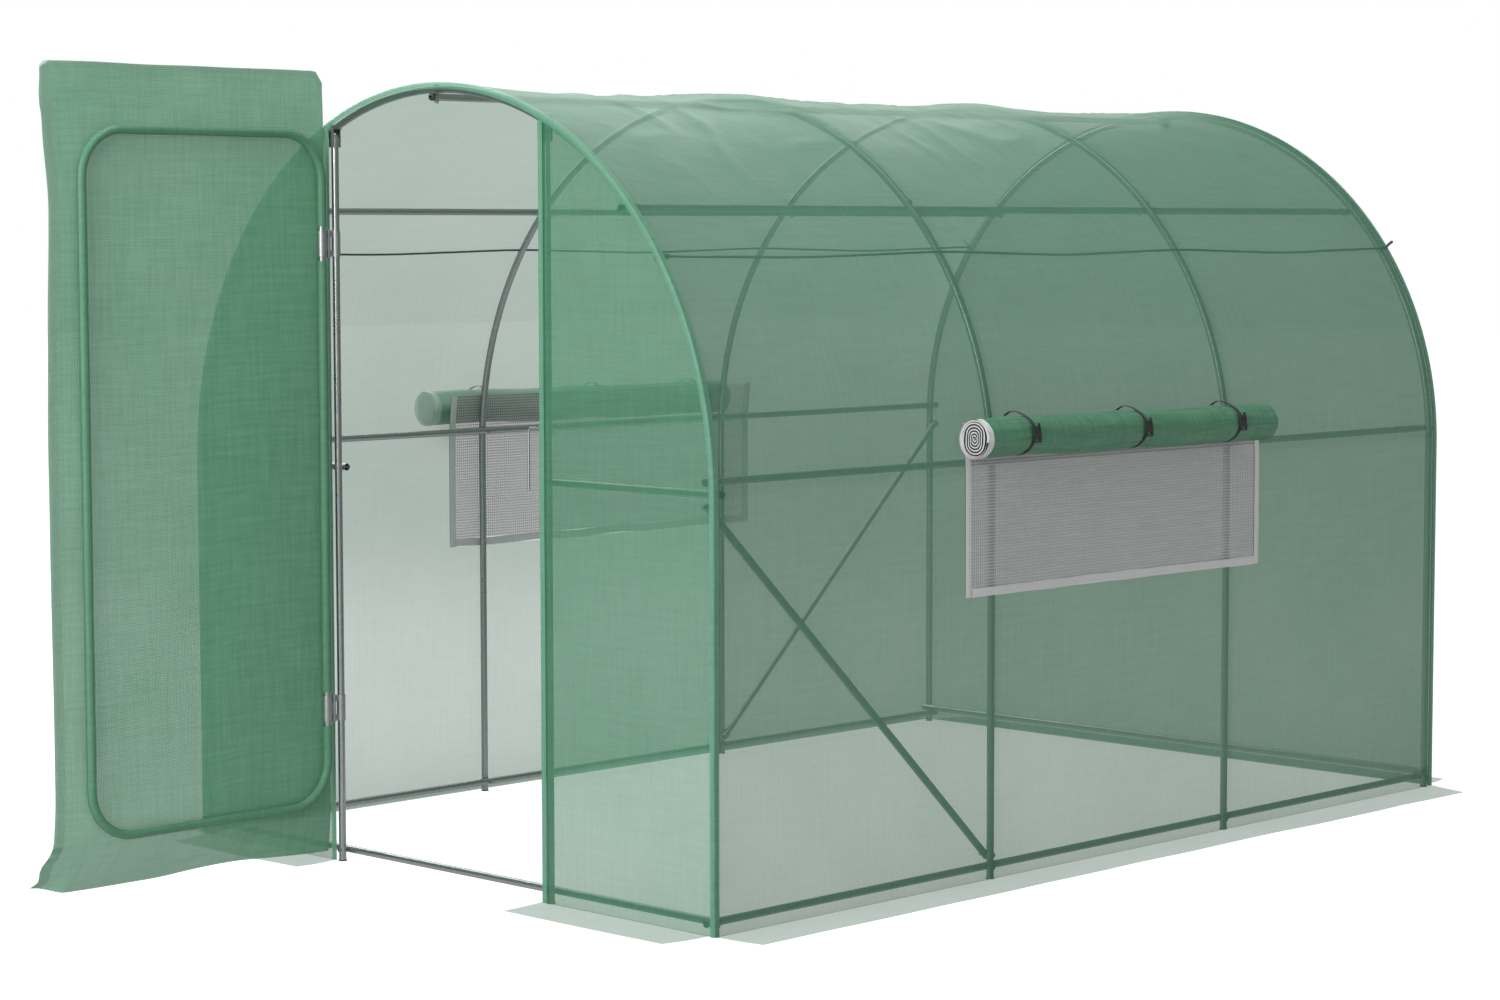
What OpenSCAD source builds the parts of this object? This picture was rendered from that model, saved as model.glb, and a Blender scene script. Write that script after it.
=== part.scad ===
// Walk-in tunnel greenhouse: a steel tube frame of round-topped hoops under a woven cover,
// with a hinged door standing open at the front and a rolled-up mesh window in each side wall.
// +Z is up, the front faces -Y, and the origin is on the ground at the middle of the whole outline.

/* [Tunnel] */
// Distance from the middle of the tunnel to a hoop's tube centre
hoop_r = 985; // [900:5:1050]
// Distance from one hoop to the next
bay = 1000; // [950:10:1100]
// Height at which the straight leg turns into the round roof
leg_top = 1033; // [1000:1:1100]

/* [Tubes] */
// Outside diameter of every frame tube
tube_d = 19; // [18:0.5:20]
// Wall thickness of the tubes
tube_wall = 1; // [0.8:0.1:1.2]
// Length of the reduced end that pushes into the next tube
spigot_len = 40; // [30:1:50]
// Height of the base tubes' centre line
base_z = 30; // [28:1:34]
// Height of the side tubes' centre line
side_z = 1075; // [1070:1:1090]
// Height of the short front cross tubes' centre line
cross_z = 1045; // [1043:1:1047]

/* [Cover] */
// Gap from a tube's centre line to the inside of the cover
cover_gap = 16; // [15.8:0.1:17]
// Modelled thickness of the cover
cover_t = 1.2; // [1:0.1:2]
// Width of the flaps that lie on the ground
flap_w = 132; // [100:1:150]

/* [Windows] */
// Length of a window opening
window_len = 1205; // [1000:5:1300]
// Height of the window's lower edge
window_low = 757; // [700:1:800]
// Height of the window's upper edge
window_high = 1180; // [1160:1:1190]
// Radius of the rolled-up flap
roll_r = 52; // [45:1:54]

/* [Door] */
// Distance from the middle to a door post's centre
post_x = 410; // [380:1:430]
// Distance from the hinge line to the door frame's far tube
door_reach = 763; // [740:1:765]
// Height of the door frame's upper tube
door_top = 1914; // [1880:1:1920]
// Height of the door frame's lower tube
door_low = 157; // [140:1:170]
// Corner radius of the door frame, at the tube's centre
door_corner = 120; // [90:1:140]
// Height of the upper edge of the door's cover
door_cover_top = 2080; // [2050:1:2090]

/* [Hidden] */
$fn = 48;

// Colours
steel = "silver";
cover_green = "mediumseagreen";
dark_green = "seagreen";

// Tubes
tube_r = tube_d / 2;
bore_r = tube_r - tube_wall;
spigot_r = bore_r - 0.1;
spigot_bore_r = spigot_r - tube_wall;
rail_r = hoop_r - tube_d;
contact_r = hoop_r - tube_r;
tail_low = 960;
crown_joint = 90;
coupler_angle = 1.8;

// Places along the tunnel: the front hoop stands so that the outline is centred on the origin
cover_out = cover_gap + cover_t;
flap_t = 1.5;
flap_in = hoop_r + cover_out + 0.5;
flap_out = cover_out + 0.5 + flap_w;
hinge_out = 24;
door_edge_out = hinge_out + door_reach + 94;
front_y = (door_edge_out - flap_out - 3 * bay) / 2;
rear_y = front_y + 3 * bay;
middle_y = front_y + 1.5 * bay;
rail_poke = 12;

// Angles of the long tubes around the roof, measured from the right-hand horizontal
side_angle = asin((side_z - leg_top) / rail_r);
roof_angle = 45;

// Fasteners
bolt_r = 3;
bolt_hole_r = 3.2;
bolt_head_r = 6;
bolt_head_h = 3;
nut_r = 6;
nut_h = 5;
nut_bore_r = 3.05;
cap_h = 3;

// Window, roll and strap
window_y0 = middle_y + 8 - window_len / 2;
border_w = 22;
border_t = 1;
roll_x = hoop_r + cover_out + roll_r + 4;
roll_z = 1138;
roll_near_extra = 60;
roll_far_short = 33;
roll_len = window_len + roll_near_extra - roll_far_short;
strap_w = 12;
strap_t = 1.4;
strap_spots = [-471, -12, 402];
buckle_size = [7, 30, 50];
buckle_slot = [9, 22, 9];
buckle_slot_out = 15;
buckle_angle = 8;

// Rope
rope_d = 6;
rope_sides = 8;
rope_steps = 5;
rope_points = [
    [811, 25, 1602],
    [812, 120, 1600],
    [813, 250, 1599],
    [814, 500, 1597],
    [815, 750, 1602],
    [816, 1000, 1607],
    [815, 1250, 1602],
    [814, 1500, 1597],
    [815, 1750, 1602],
    [816, 2000, 1607],
    [815, 2250, 1602],
    [814, 2500, 1597],
    [815, 2750, 1602],
    [816, 3000, 1607],
    [816, 3011, 1607]];
rope_angle = 35.1;
tie_r = 2.5;
tie_ring_r = tube_r + 0.2 + tie_r;
knot_r = 6.5;
knot_front = 13;
knot_back = 25;
tail_len = 40;
tail_y = 3008;

// Door
hinge_x = -post_x;
hinge_y = front_y - hinge_out;
hinge_tube_out = 22;
door_near_y = hinge_y - hinge_tube_out;
door_far_y = hinge_y - door_reach;
door_joint_z = 1000;
door_sheet_gap = 2.5;
door_sheet_x = hinge_x - tube_r - door_sheet_gap;
door_edge_y = front_y - door_edge_out;
door_sheet_near = hinge_y - 12;
skirt_fold_z = 150;
skirt_near_out = 70;
skirt_far_out = 140;

// Hinges and latch
hinge_zs = [410, 1630];
hinge_h = 68;
clamp_bore_r = tube_r + 0.05;
clamp_r = tube_r + 2.1;
knuckle_r = 5;
pin_r = 2.5;
pin_bore_r = 2.55;
knuckle_split = 17;
knuckle_gap = 0.5;
pin_head_r = 4.5;
pin_head_h = 2;
latch_z = 1178;
latch_drop = 154;
latch_x = 338;
latch_rod_r = 3;
latch_bore_r = 3.05;
latch_bend_r = 10;
latch_barrel_r = 6;
latch_barrel_x0 = 378;
latch_barrel_x1 = 390;
latch_head_r = 4.5;

function hoop_y(i) = front_y + (i - 1) * bay;
function arc_point(r, a) = [r * cos(a), leg_top + r * sin(a)];

// Bolts: each entry holds the point where two tubes touch and the way the bolt points
function roof_bolt(i, a) =
    [[arc_point(contact_r, a)[0], hoop_y(i), arc_point(contact_r, a)[1]], [-cos(a), 0, -sin(a)]];
function base_bolt(i, side) = [[side * contact_r, hoop_y(i), base_z], [-side, 0, 0]];
function row_bolts(a) = [for (i = [1:4]) roof_bolt(i, a)];
function base_row_bolts(side) = [for (i = [1:4]) base_bolt(i, side)];
function front_bolt(x, z) = [[x, front_y + tube_r, z], [0, 1, 0]];

cross_leg_x = hoop_r * cos(asin((cross_z - leg_top) / hoop_r));
rear_tube_z = base_z + tube_d + 0.3;
rear_leg_bolts = [for (s = [-1, 1]) [[s * hoop_r, rear_y - tube_r, rear_tube_z], [0, -1, 0]]];
sill_bolts = [for (s = [-1, 1]) front_bolt(s * post_x, base_z)];
post_cross_bolts = [for (s = [-1, 1]) front_bolt(s * post_x, cross_z)];
leg_cross_bolts = [for (s = [-1, 1]) front_bolt(s * cross_leg_x, cross_z)];
brace_high_z = 1012;
brace_low_z = 62;
brace_bolts_right = [[[contact_r, hoop_y(1), brace_high_z], [-1, 0, 0]],
                     [[contact_r, hoop_y(2), brace_low_z], [-1, 0, 0]]];
brace_bolts_left = [[[-contact_r, hoop_y(4), brace_high_z], [1, 0, 0]],
                    [[-contact_r, hoop_y(3), brace_low_z], [1, 0, 0]]];
post_top_z = leg_top + sqrt(pow(hoop_r, 2) - pow(post_x, 2));
clamp_bolts = [for (s = [-1, 1]) [[s * post_x, front_y, post_top_z], [0, 1, 0]]];
roof_rows = [side_angle, roof_angle, 90, 180 - roof_angle, 180 - side_angle];
all_bolts = concat(
    [for (a = roof_rows) for (b = row_bolts(a)) b],
    base_row_bolts(1), base_row_bolts(-1), rear_leg_bolts, sill_bolts, post_cross_bolts,
    leg_cross_bolts, brace_bolts_right, brace_bolts_left);

// Turns its children so that their +Z follows a direction
module along(direction) {
    rotate([0, acos(direction[2]), atan2(direction[1], direction[0])]) children();
}

module at_bolt(b) {
    translate(b[0]) along(b[1]) children();
}

module drilled(bolts) {
    difference() {
        children();
        for (b = bolts) at_bolt(b) cylinder(r = bolt_hole_r, h = 4 * tube_d, center = true);
    }
}

// Straight tube from z = 0 up to its length, with an optional reduced end above it
module tube(length) {
    difference() {
        cylinder(r = tube_r, h = length);
        translate([0, 0, -1]) cylinder(r = bore_r, h = length + 2);
    }
}

module spigot_tube(length) {
    rotate_extrude() polygon([
        [bore_r, 0], [tube_r, 0], [tube_r, length], [spigot_r, length],
        [spigot_r, length + spigot_len], [spigot_bore_r, length + spigot_len],
        [spigot_bore_r, length - 6], [bore_r, length - 6]]);
}

// Part of a bent tube in the hoop's plane, from one angle to another
module arc_ring(outer, inner, from, to) {
    rotate([90, 0, 0]) rotate([0, 0, from])
        rotate_extrude(angle = to - from) translate([hoop_r, 0]) difference() {
            circle(r = outer);
            circle(r = inner);
        }
}

module long_tubes(first_y) {
    for (k = [0:2]) {
        translate([0, first_y + k * bay + (k == 0 ? 0 : 2 * rail_poke), 0]) rotate([-90, 0, 0]) {
            if (k < 2) spigot_tube(bay + (k == 0 ? 2 * rail_poke : 0) - 0.2);
            else tube(bay);
        }
    }
}

module roof_row(a) {
    color(steel) drilled(row_bolts(a))
        translate([arc_point(rail_r, a)[0], 0, arc_point(rail_r, a)[1]])
            long_tubes(front_y - rail_poke);
}

module base_row(side) {
    color(steel) drilled(base_row_bolts(side))
        translate([side * rail_r, 0, base_z]) long_tubes(front_y - rail_poke);
}

// Hoops
module leg(i, side) {
    color(steel) drilled(concat([base_bolt(i, side)], rear_leg_bolts, brace_bolts_right, brace_bolts_left))
        translate([side * hoop_r, hoop_y(i), cap_h]) tube(tail_low - cap_h - 0.2);
}

module arch_tail() {
    translate([hoop_r, 0, leg_top]) rotate([180, 0, 0]) spigot_tube(leg_top - tail_low);
}

// Bolts of one hoop, moved so that the hoop stands at y = 0
function hoop_bolts(i, side) = [for (b = concat(
        [for (a = side > 0 ? [side_angle, roof_angle, 90] : [90, 180 - roof_angle, 180 - side_angle])
            roof_bolt(i, a)],
        i == 1 ? leg_cross_bolts : [], i == 1 ? clamp_bolts : [],
        side > 0 ? brace_bolts_right : brace_bolts_left))
    if (abs(b[0][1] - hoop_y(i)) < tube_d && side * b[0][0] > -1)
        [b[0] - [0, hoop_y(i), 0], b[1]]];

module arch_right(i) {
    color(steel) translate([0, hoop_y(i), 0]) drilled(hoop_bolts(i, 1)) {
        arch_tail();
        translate([0, 0, leg_top]) arc_ring(tube_r, bore_r, 0, crown_joint);
    }
}

module arch_left(i) {
    color(steel) translate([0, hoop_y(i), 0]) drilled(hoop_bolts(i, -1)) {
        mirror([1, 0, 0]) arch_tail();
        translate([0, 0, leg_top]) arc_ring(tube_r, bore_r, crown_joint + 0.02, 180);
    }
}

// Short sleeves inside the tubes where the two halves of each arch meet
module crown_couplers() {
    color(steel) drilled(row_bolts(90)) for (i = [1:4]) translate([0, hoop_y(i), leg_top])
        arc_ring(spigot_r, spigot_bore_r, crown_joint - coupler_angle, crown_joint + coupler_angle);
}

// End tubes
module pair_across(reach, y, z) {
    translate([-reach, y, z]) rotate([0, 90, 0]) spigot_tube(reach - 0.2);
    translate([0, y, z]) rotate([0, 90, 0]) tube(reach);
}

module rear_base_tubes() {
    color(steel) drilled(rear_leg_bolts) pair_across(hoop_r + 10, rear_y - tube_d, rear_tube_z);
}

module door_sill_tubes() {
    color(steel) drilled(sill_bolts) pair_across(rail_r - tube_r - 1.5, front_y + tube_d, base_z);
}

module door_post(side) {
    color(steel) drilled(concat(sill_bolts, post_cross_bolts))
        translate([side * post_x, front_y, cap_h]) tube(1912 - cap_h);
}

// Saddle at a post's top: a socket for the post with a cheek on each side of the arch
module post_clamps() {
    color(steel) drilled(clamp_bolts) for (s = [-1, 1]) translate([s * post_x, front_y, 0]) {
        difference() {
            union() {
                translate([0, 0, 1880]) cylinder(r = 12.4, h = 26);
                for (t = [-1, 1])
                    translate([-9, t * 11.1 - 1.3, 1880]) cube([18, 2.6, 62]);
            }
            translate([0, 0, 1879]) cylinder(r = clamp_bore_r, h = 90);
            translate([-30, -9.7, 1911]) cube([60, 19.4, 60]);
        }
    }
}

module front_cross_tubes() {
    length = hoop_r + 8 - (post_x - 12);
    color(steel) drilled(concat(post_cross_bolts, leg_cross_bolts)) for (s = [-1, 1])
        translate([s > 0 ? post_x - 12 : -hoop_r - 8, front_y + tube_d, cross_z])
            rotate([0, 90, 0]) tube(length);
}

// Brace between two of its bolts, with a little tube past each
module brace(bolts) {
    past = 10;
    a = bolts[0][0] + tube_r * bolts[0][1];
    b = bolts[1][0] + tube_r * bolts[1][1];
    direction = (b - a) / norm(b - a);
    color(steel) drilled(bolts) translate(a - past * direction) along(direction)
        tube(norm(b - a) + 2 * past);
}

module braces() {
    brace(brace_bolts_right);
    brace(brace_bolts_left);
}

module frame_bolts() {
    color(steel) {
        for (b = all_bolts) at_bolt(b) {
            translate([0, 0, -tube_d - bolt_head_h]) cylinder(r = bolt_head_r, h = bolt_head_h);
            translate([0, 0, -tube_d - 1]) cylinder(r = bolt_r, h = 2 * tube_d + nut_h + 4);
        }
        for (b = clamp_bolts) at_bolt(b) {
            translate([0, 0, -12.5 - bolt_head_h]) cylinder(r = bolt_head_r, h = bolt_head_h);
            translate([0, 0, -13]) cylinder(r = bolt_r, h = 26 + nut_h + 3);
        }
    }
}

module nut() {
    difference() {
        cylinder(r = nut_r, h = nut_h, $fn = 6);
        translate([0, 0, -1]) cylinder(r = nut_bore_r, h = nut_h + 2);
    }
}

module frame_nuts() {
    color(steel) {
        for (b = all_bolts) at_bolt(b) translate([0, 0, tube_d + 0.05]) nut();
        for (b = clamp_bolts) at_bolt(b) translate([0, 0, 12.5]) nut();
    }
}

module foot_cap() {
    cylinder(r = tube_r + 1.5, h = cap_h - 0.1);
    cylinder(r = bore_r - 0.1, h = 16);
}

module foot_caps() {
    color("dimgray") {
        for (i = [1:4]) for (s = [-1, 1]) translate([s * hoop_r, hoop_y(i), 0]) foot_cap();
        for (s = [-1, 1]) translate([s * post_x, front_y, 0]) foot_cap();
    }
}

// Cover: outline of the tunnel seen from the front, grown by a distance from the tube centres
module outline(grow, low) {
    translate([0, leg_top]) circle(r = hoop_r + grow, $fn = 180);
    translate([-hoop_r - grow, low]) square([2 * (hoop_r + grow), leg_top - low]);
}

module stand_up(y0, y1) {
    translate([0, y1, 0]) rotate([90, 0, 0]) linear_extrude(height = y1 - y0) children();
}

module upper_outline(grow, low) {
    difference() {
        outline(grow, low);
        translate([-2 * hoop_r, -hoop_r]) square([4 * hoop_r, hoop_r + low]);
    }
}

module shell(inner, outer, low, y0, y1) {
    stand_up(y0, y1) difference() {
        upper_outline(outer, low);
        upper_outline(inner, low - 1);
    }
}

module window_box(side, grow) {
    x0 = side > 0 ? 900 : -1200;
    translate([x0, window_y0 - grow, window_low - grow])
        cube([300, window_len + 2 * grow, window_high - window_low + 2 * grow]);
}

module tunnel_cover() {
    color(cover_green) difference() {
        shell(cover_gap, cover_out, 2, front_y - cover_out, rear_y + cover_out);
        window_box(1, 0);
        window_box(-1, 0);
    }
}

module end_panel(y) {
    stand_up(y, y + cover_t) upper_outline(cover_gap - 0.3, 2);
}

module rear_panel() {
    color(cover_green) end_panel(rear_y + cover_gap);
}

module front_panel(side, edge) {
    color(cover_green) intersection() {
        end_panel(front_y - cover_out);
        translate([side > 0 ? edge : -edge - 1000, front_y - 100, 0]) cube([1000, 200, 2500]);
    }
}

// Flaps that lie flat on the ground outside the walls, cut back at the corners
module ground_flap_side(side) {
    x1 = side * (flap_in + flap_w);
    color(dark_green) linear_extrude(height = flap_t) polygon([
        [side * flap_in, front_y - cover_out], [x1, front_y + 10],
        [x1, rear_y - 10], [side * flap_in, rear_y + cover_out]]);
}

module end_flap(y, way, x0, x1, cut0, cut1) {
    linear_extrude(height = flap_t) polygon([
        [x0, y], [x0 + cut0, y + way * flap_w], [x1 - cut1, y + way * flap_w], [x1, y]]);
}

module ground_flap_rear() {
    color(dark_green) end_flap(rear_y + cover_out + 0.5, 1, -hoop_r, hoop_r, 25, 25);
}

module ground_flaps_front() {
    y = front_y - cover_out - 0.5;
    color(dark_green) {
        end_flap(y, -1, post_x - 12, hoop_r, 0, 25);
        end_flap(y, -1, -hoop_r, -post_x - 5, 25, 0);
    }
}

// Windows
module window_mesh(side) {
    color("lightgray") intersection() {
        shell(cover_gap, cover_out, 2, front_y, rear_y);
        window_box(side, -0.5);
    }
}

module window_borders() {
    color("white") for (side = [-1, 1]) intersection() {
        shell(cover_out + 0.1, cover_out + 0.1 + border_t, 2, front_y, rear_y);
        difference() {
            window_box(side, border_w);
            window_box(side, 0);
        }
    }
}

module rolled_flap(side) {
    color(dark_green) translate([side * roll_x, window_y0 - roll_near_extra, roll_z])
        rotate([-90, 0, 0]) cylinder(r = roll_r, h = roll_len);
}

module roll_straps() {
    color("black") for (side = [-1, 1]) for (s = strap_spots)
        translate([side * roll_x, middle_y + s - strap_w / 2, roll_z]) rotate([-90, 0, 0]) difference() {
            cylinder(r = roll_r + 0.3 + strap_t, h = strap_w);
            translate([0, 0, -1]) cylinder(r = roll_r + 0.3, h = strap_w + 2);
        }
}

module strap_buckles() {
    color("black") for (side = [-1, 1]) for (s = strap_spots)
        translate([side * roll_x, middle_y + s, roll_z]) rotate([0, -side * buckle_angle, 0])
            translate([side * (roll_r + strap_t + 4.5), 0, 0]) difference() {
                cube(buckle_size, center = true);
                for (t = [-1, 1]) translate([0, 0, buckle_slot_out * t])
                    cube(buckle_slot, center = true);
            }
}

// Ropes between the hoops and the cover: each point is across, back from the front hoop and up
function rope_place(side, p) = [side * p[0], front_y + p[1], p[2]];
function eased(a, b, c, d, t) = 0.5 * (2 * b + t * (c - a)
    + t * t * (2 * a - 5 * b + 4 * c - d) + t * t * t * (3 * b - a - 3 * c + d));
function rope_at(i, t) = let (p = rope_points, last = len(p) - 1)
    eased(p[max(i - 1, 0)], p[i], p[i + 1], p[min(i + 2, last)], t);
function rope_route(side) = concat(
    [for (i = [0:len(rope_points) - 2]) for (j = [0:rope_steps - 1])
        rope_place(side, rope_at(i, j / rope_steps))],
    [rope_place(side, rope_points[len(rope_points) - 1])]);

function unit(v) = v / norm(v);
function way_at(p, i) = unit(p[min(i + 1, len(p) - 1)] - p[max(i - 1, 0)]);
function ring_at(p, i, r) = let (
    w = way_at(p, i), u = unit(cross(w, [0, 0, 1])), v = cross(u, w))
    [for (k = [0:rope_sides - 1])
        p[i] + r * (cos(360 * k / rope_sides) * u + sin(360 * k / rope_sides) * v)];

module swept(p, r) {
    n = len(p);
    points = [for (i = [0:n - 1]) for (q = ring_at(p, i, r)) q];
    sides = [for (i = [0:n - 2]) for (k = [0:rope_sides - 1]) let (m = (k + 1) % rope_sides)
        [i * rope_sides + k, i * rope_sides + m, (i + 1) * rope_sides + m, (i + 1) * rope_sides + k]];
    first = [for (k = [0:rope_sides - 1]) rope_sides - 1 - k];
    last = [for (k = [0:rope_sides - 1]) (n - 1) * rope_sides + k];
    polyhedron(points = points, faces = concat(sides, [first, last]), convexity = 4);
}

module rope(side) {
    color("dimgray") swept(rope_route(side), rope_d / 2);
}

// Places a shape that is built along +X at a distance r from the hoops' middle, where a rope runs
module at_rope(side, y, r) {
    translate([0, front_y + y, leg_top])
        rotate([0, side > 0 ? -rope_angle : rope_angle - 180, 0]) translate([r, 0, 0]) children();
}

// Each rope's front end is tied round the front hoop, and its rear end comes out at the rear hoop
module rope_knots() {
    color("dimgray") for (side = [-1, 1]) {
        at_rope(side, 0, hoop_r) rotate_extrude() translate([tie_ring_r, 0]) circle(r = tie_r);
        translate([side * rope_points[0][0], front_y + knot_front, rope_points[0][2]])
            rotate([-90, 0, 0]) cylinder(r = knot_r, h = knot_back - knot_front);
        at_rope(side, tail_y, hoop_r + cover_out + 0.2) rotate([0, 90, 0])
            cylinder(r = rope_d / 2, h = tail_len);
    }
}

// Door
module door_bend(y, z, from) {
    translate([hinge_x, y, z]) rotate([0, 90, 0]) rotate([0, 0, from])
        rotate_extrude(angle = 90) translate([door_corner, 0]) difference() {
            circle(r = tube_r);
            circle(r = bore_r);
        }
}

module door_frame_upper() {
    bar = door_near_y - door_far_y - 2 * door_corner;
    color(steel) {
        for (y = [door_near_y, door_far_y])
            translate([hinge_x, y, door_joint_z]) tube(door_top - door_corner - door_joint_z);
        door_bend(door_near_y - door_corner, door_top - door_corner, 90);
        door_bend(door_far_y + door_corner, door_top - door_corner, 180);
        translate([hinge_x, door_far_y + door_corner, door_top]) rotate([-90, 0, 0]) tube(bar);
    }
}

module door_frame_lower() {
    bar = door_near_y - door_far_y - 2 * door_corner;
    color(steel) {
        for (y = [door_near_y, door_far_y])
            translate([hinge_x, y, door_low + door_corner])
                spigot_tube(door_joint_z - 0.2 - door_low - door_corner);
        door_bend(door_near_y - door_corner, door_low + door_corner, 0);
        door_bend(door_far_y + door_corner, door_low + door_corner, 270);
        translate([hinge_x, door_far_y + door_corner, door_low]) rotate([-90, 0, 0]) tube(bar);
    }
}

// Door cover: a flat sheet on the frame's outer side, with a skirt that leans out at the bottom
module door_cover() {
    lean_bottom = 4;
    color(cover_green) {
        translate([door_sheet_x - cover_t, door_edge_y, skirt_fold_z])
            cube([cover_t, door_sheet_near - door_edge_y, door_cover_top - skirt_fold_z]);
        hull() {
            translate([door_sheet_x - cover_t, door_edge_y, skirt_fold_z])
                cube([cover_t, door_sheet_near - door_edge_y, 1]);
            translate([door_sheet_x - skirt_near_out, door_sheet_near - 1, lean_bottom])
                cube([cover_t, 1, 1]);
            translate([door_sheet_x - skirt_far_out, door_edge_y, lean_bottom]) cube([cover_t, 1, 1]);
        }
    }
}

// Hinges: each leaf is a clamp around its tube with a web out to its knuckles
module hinge_clamp(y) {
    translate([hinge_x, y, 0]) difference() {
        cylinder(r = clamp_r, h = hinge_h, center = true);
        cylinder(r = clamp_bore_r, h = hinge_h + 2, center = true);
    }
}

module knuckle(z0, z1, toward) {
    difference() {
        union() {
            translate([hinge_x, hinge_y, z0]) cylinder(r = knuckle_r, h = z1 - z0);
            translate([hinge_x - 1.5, min(hinge_y, hinge_y + toward), z0])
                cube([3, abs(toward), z1 - z0]);
        }
        translate([hinge_x, hinge_y, z0 - 1]) cylinder(r = pin_bore_r, h = z1 - z0 + 2);
    }
}

module hinge_post_leaves() {
    reach = hinge_out - clamp_bore_r - 1;
    color(steel) for (z = hinge_zs) translate([0, 0, z]) {
        hinge_clamp(front_y);
        knuckle(knuckle_split, hinge_h / 2, reach);
        knuckle(-hinge_h / 2, -knuckle_split, reach);
    }
}

module hinge_door_leaves() {
    reach = hinge_tube_out - clamp_bore_r - 1;
    color(steel) for (z = hinge_zs) translate([0, 0, z]) {
        hinge_clamp(door_near_y);
        knuckle(knuckle_gap - knuckle_split, knuckle_split - knuckle_gap, -reach);
    }
}

module hinge_pins() {
    color(steel) for (z = hinge_zs) translate([hinge_x, hinge_y, z]) {
        cylinder(r = pin_r, h = hinge_h + 1, center = true);
        for (s = [-1, 1]) translate([0, 0, s * (hinge_h / 2 + 0.2 + pin_head_h / 2)])
            cylinder(r = pin_head_r, h = pin_head_h, center = true);
    }
}

// Latch: a bent rod that hangs from a barrel clamped to the right-hand post
module latch_bracket() {
    color(steel) difference() {
        union() {
            translate([post_x, front_y, latch_z - 10]) cylinder(r = clamp_r, h = 20);
            translate([latch_barrel_x0, front_y, latch_z]) rotate([0, 90, 0])
                cylinder(r = latch_barrel_r, h = latch_barrel_x1 - latch_barrel_x0);
            translate([latch_barrel_x0, front_y - 5, latch_z + 4.8]) cube([22, 10, 3]);
        }
        translate([post_x, front_y, latch_z - 11]) cylinder(r = clamp_bore_r, h = 22);
        translate([latch_barrel_x0 - 1, front_y, latch_z]) rotate([0, 90, 0])
            cylinder(r = latch_bore_r, h = latch_barrel_x1 - latch_barrel_x0 + 2);
    }
}

module latch_hook() {
    arm_x = latch_x + latch_bend_r;
    color(steel) translate([0, front_y, latch_z]) {
        translate([arm_x, 0, 0]) rotate([0, 90, 0]) cylinder(r = latch_rod_r, h = 394 - arm_x);
        translate([391, 0, 0]) rotate([0, 90, 0]) cylinder(r = latch_head_r, h = 4);
        translate([arm_x, 0, -latch_bend_r]) rotate([90, 0, 0]) rotate([0, 0, 90])
            rotate_extrude(angle = 90) translate([latch_bend_r, 0]) circle(r = latch_rod_r);
        translate([latch_x, 0, -latch_drop]) cylinder(r = latch_rod_r, h = latch_drop - latch_bend_r);
    }
}

for (i = [1:4]) {
    leg(i, 1);
    leg(i, -1);
    arch_right(i);
    arch_left(i);
}
roof_row(90);  // ridge_tubes
roof_row(roof_angle);  // roof_tubes_right
roof_row(180 - roof_angle);  // roof_tubes_left
roof_row(side_angle);  // side_tubes_right
roof_row(180 - side_angle);  // side_tubes_left
base_row(1);  // base_tubes_right
base_row(-1);  // base_tubes_left
rear_base_tubes();
door_sill_tubes();
door_post(1);  // door_post_right
door_post(-1);  // door_post_left
post_clamps();
front_cross_tubes();
crown_couplers();
braces();
frame_bolts();
frame_nuts();
foot_caps();
tunnel_cover();
rear_panel();
front_panel(1, post_x - 12);  // front_panel_right
front_panel(-1, post_x + 5);  // front_panel_left
ground_flap_side(1);  // ground_flap_right
ground_flap_side(-1);  // ground_flap_left
ground_flap_rear();
ground_flaps_front();
window_mesh(1);  // window_mesh_right
window_mesh(-1);  // window_mesh_left
window_borders();
rolled_flap(1);  // rolled_flap_right
rolled_flap(-1);  // rolled_flap_left
roll_straps();
strap_buckles();
rope(1);  // rope_right
rope(-1);  // rope_left
rope_knots();
door_frame_upper();
door_frame_lower();
door_cover();
hinge_post_leaves();
hinge_door_leaves();
hinge_pins();
latch_bracket();
latch_hook();
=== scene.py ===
"""Walk-in tunnel greenhouse: the looks of each piece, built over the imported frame."""
import math

import bpy
from mathutils import Matrix, Vector, noise


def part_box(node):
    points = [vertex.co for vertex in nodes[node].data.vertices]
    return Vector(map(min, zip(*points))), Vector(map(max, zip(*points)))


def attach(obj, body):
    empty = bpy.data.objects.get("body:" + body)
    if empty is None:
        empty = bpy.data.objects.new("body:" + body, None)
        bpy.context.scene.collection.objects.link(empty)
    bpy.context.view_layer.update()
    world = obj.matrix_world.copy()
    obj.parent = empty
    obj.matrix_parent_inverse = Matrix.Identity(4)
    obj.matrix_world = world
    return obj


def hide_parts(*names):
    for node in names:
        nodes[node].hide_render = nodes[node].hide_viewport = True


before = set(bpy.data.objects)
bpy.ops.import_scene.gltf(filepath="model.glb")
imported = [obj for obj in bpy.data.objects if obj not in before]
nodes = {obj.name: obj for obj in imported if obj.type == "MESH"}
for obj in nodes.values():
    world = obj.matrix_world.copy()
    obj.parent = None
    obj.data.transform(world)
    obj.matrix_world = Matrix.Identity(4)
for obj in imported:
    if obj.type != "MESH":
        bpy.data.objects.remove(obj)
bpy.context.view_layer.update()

SIDES = ((1, "right"), (-1, "left"))

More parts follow.
